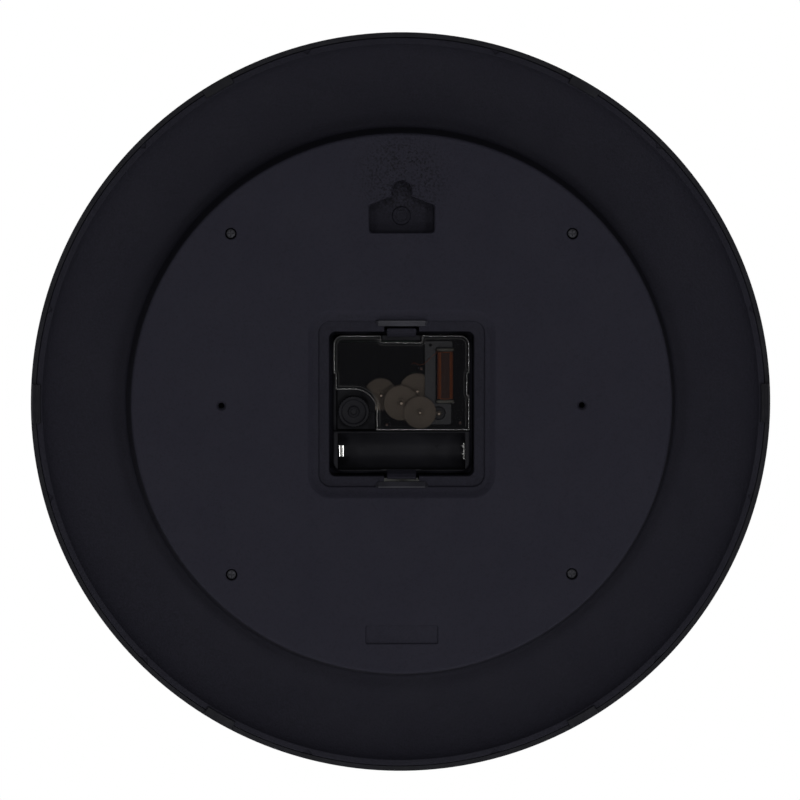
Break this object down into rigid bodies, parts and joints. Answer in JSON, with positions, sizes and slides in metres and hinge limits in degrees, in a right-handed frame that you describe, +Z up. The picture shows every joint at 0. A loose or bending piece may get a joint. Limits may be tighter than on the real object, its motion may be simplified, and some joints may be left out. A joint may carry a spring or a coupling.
{
  "type": "wall clock",
  "caption": "Round wall clock with a moulded rear case, push-fit bezel, flat lens, dial, hands and a clipped-in quartz movement with its gear train.",
  "frame": {"origin": "on the hand shaft's axis, halfway between the bezel's front and the flat back", "axes": "+Y out of the flat back towards the wall, -Y out of the dial, +Z up towards twelve o'clock, +X to three o'clock as seen from the front"},
  "size_m": [0.305, 0.044, 0.305],
  "materials": {
    "case_black": "moulded black ABS with a fine matte texture",
    "bezel_black": "black ABS, satin front and textured skirt",
    "lens_clear": "clear flat lens",
    "spacer_black": "matte black inner ring",
    "dial_backing": "plain white moulding",
    "dial_white": "printed white dial card",
    "screw_steel": "blackened steel screws",
    "movement_black": "moulded black ABS",
    "cover_clear": "clear polystyrene cover",
    "brass": "turned brass",
    "board_green": "solder-masked circuit board",
    "chip_black": "black resin over the chip",
    "can_steel": "tinned crystal can",
    "bobbin_natural": "natural translucent plastic",
    "copper": "enamelled copper wire",
    "lamination": "nickel-iron sheet",
    "contact_steel": "nickel-plated spring strip",
    "magnet_grey": "sintered magnet",
    "gear_cream": "cream acetal",
    "hand_black": "black painted aluminium",
    "second_red": "red painted aluminium"
  },
  "bodies": {
    "case": {"rear_case": "case_black", "back_panel": "case_black", "movement_well": "case_black", "hanger_box": "case_black", "front_bezel": "bezel_black", "lens": "lens_clear", "spacer_ring": "spacer_black", "dial_plate": "dial_backing", "dial_face": "dial_white", "case_screw_1": "screw_steel", "case_screw_2": "screw_steel", "case_screw_3": "screw_steel", "case_screw_4": "screw_steel", "movement_base": "movement_black", "movement_cover": "cover_clear", "middle_plate": "movement_black", "shaft_bushing": "brass", "circuit_board": "board_green", "circuit_chip": "chip_black", "quartz_crystal": "can_steel", "coil_bobbin": "bobbin_natural", "coil_winding": "copper", "coil_core": "lamination", "stator": "lamination", "battery_contact_negative": "contact_steel", "battery_contact_positive": "contact_steel"},
    "rotor": {"rotor_magnet": "magnet_grey", "rotor_pinion": "gear_cream"},
    "intermediate": {"intermediate_wheel": "gear_cream"},
    "seconds": {"seconds_wheel": "gear_cream", "second_hand": "second_red", "second_hand_cap": "second_red"},
    "third": {"third_wheel": "gear_cream"},
    "centre": {"centre_wheel": "gear_cream"},
    "minutes": {"cannon_pinion": "gear_cream", "minute_hand": "hand_black"},
    "minute_work": {"minute_work_wheel": "gear_cream"},
    "hours": {"hour_wheel": "gear_cream", "hour_hand": "hand_black"},
    "setting": {"setting_gear": "gear_cream", "setting_knob": "movement_black"}
  },
  "joints": [
    {"name": "rotor_turn", "type": "hinge", "parent": "case", "child": "rotor", "pos_m": [-0.0155, 0.01, -0.0043], "axis": [0, 1, 0], "continuous": true},
    {"name": "intermediate_turn", "type": "hinge", "parent": "case", "child": "intermediate", "pos_m": [-0.0077, 0.01, -0.0039], "axis": [0, 1, 0], "continuous": true},
    {"name": "second", "type": "hinge", "parent": "case", "child": "seconds", "pos_m": [0, 0.01, 0], "axis": [0, 1, 0], "continuous": true},
    {"name": "third_turn", "type": "hinge", "parent": "case", "child": "third", "pos_m": [-0.0066, 0.01, 0.0049], "axis": [0, 1, 0], "continuous": true},
    {"name": "centre_turn", "type": "hinge", "parent": "case", "child": "centre", "pos_m": [0, 0.01, 0], "axis": [0, 1, 0], "continuous": true},
    {"name": "minute", "type": "hinge", "parent": "case", "child": "minutes", "pos_m": [0, 0.01, 0], "axis": [0, 1, 0], "continuous": true},
    {"name": "minute_work_turn", "type": "hinge", "parent": "case", "child": "minute_work", "pos_m": [0.00837, 0.01, 0.00319], "axis": [0, 1, 0], "continuous": true},
    {"name": "hour", "type": "hinge", "parent": "case", "child": "hours", "pos_m": [0, 0.01, 0], "axis": [0, 1, 0], "continuous": true},
    {"name": "setting_turn", "type": "hinge", "parent": "case", "child": "setting", "pos_m": [0.0196, 0.01, -0.0036], "axis": [0, 1, 0], "continuous": true}
  ],
  "couplings": [
    {"joint": "intermediate_turn", "follows": "second", "ratio": -5},
    {"joint": "rotor_turn", "follows": "second", "ratio": 30},
    {"joint": "third_turn", "follows": "second", "ratio": -0.13333},
    {"joint": "centre_turn", "follows": "second", "ratio": 0.016667},
    {"joint": "minute_work_turn", "follows": "minute", "ratio": -0.33333},
    {"joint": "hour", "follows": "minute", "ratio": 0.083333},
    {"joint": "setting_turn", "follows": "minute", "ratio": 0.35}
  ]
}
